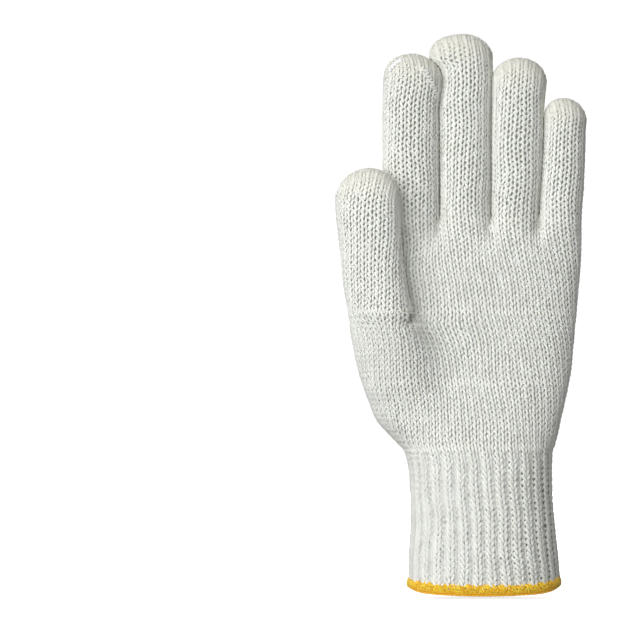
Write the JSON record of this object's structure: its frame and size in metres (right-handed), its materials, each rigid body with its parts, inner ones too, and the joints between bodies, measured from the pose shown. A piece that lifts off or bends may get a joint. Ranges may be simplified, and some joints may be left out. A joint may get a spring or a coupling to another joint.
{
  "type": "cotton glove",
  "caption": "Seamless string-knit cotton work glove, left hand, filled out and upright, with a ribbed elastic cuff and a yellow overlocked hem; it covers and protects the hand.",
  "frame": {"origin": "centre of the opening in the hem, where the hand goes in, at the height of the hem's lowest point", "axes": "+Z from the wrist to the fingertips, -Y out of the palm, +X from the thumb to the little finger"},
  "size_m": [0.1092, 0.0547, 0.245],
  "materials": {
    "cotton_jersey": "bleached cotton yarn, plain jersey knit, matt with a soft fuzz",
    "cotton_rib": "bleached cotton yarn with an elastic thread, ribbed knit, matt",
    "yellow_overlock": "yellow polyester overlock yarn, looped over the edge, matt"
  },
  "bodies": {
    "root": {"palm": "cotton_jersey", "index_finger": "cotton_jersey", "middle_finger": "cotton_jersey", "ring_finger": "cotton_jersey", "little_finger": "cotton_jersey", "thumb": "cotton_jersey", "cuff": "cotton_rib", "hem": "yellow_overlock"}
  },
  "joints": []
}
